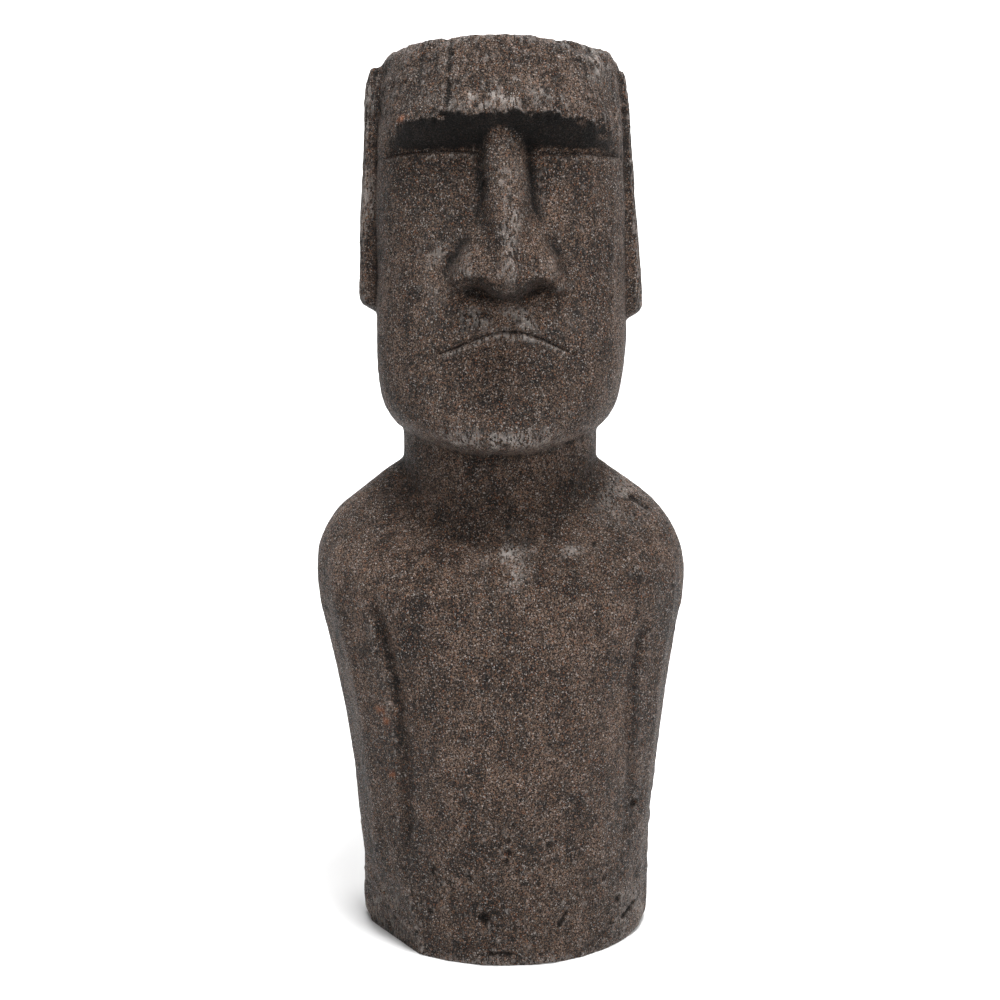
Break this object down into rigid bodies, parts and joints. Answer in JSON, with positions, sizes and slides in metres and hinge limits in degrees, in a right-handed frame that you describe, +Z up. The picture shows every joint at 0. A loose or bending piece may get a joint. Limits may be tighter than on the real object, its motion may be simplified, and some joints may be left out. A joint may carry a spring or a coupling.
{
  "type": "moai statue",
  "caption": "Garden figure in cast stone: a long moai head with slab ears, a jutting brow and a downturned mouth, on a neck and a torso with the arms at its sides.",
  "frame": {"origin": "middle of the flat underside, on the ground", "axes": "+Z up, the face looks along -Y, +X to the right of a viewer who faces it"},
  "size_m": [0.3458, 0.2613, 0.8],
  "materials": {
    "cast_stone": "dark brown cast stone with a rough, pitted and faintly waxed surface"
  },
  "bodies": {
    "root": {"moai": "cast_stone"}
  },
  "joints": []
}
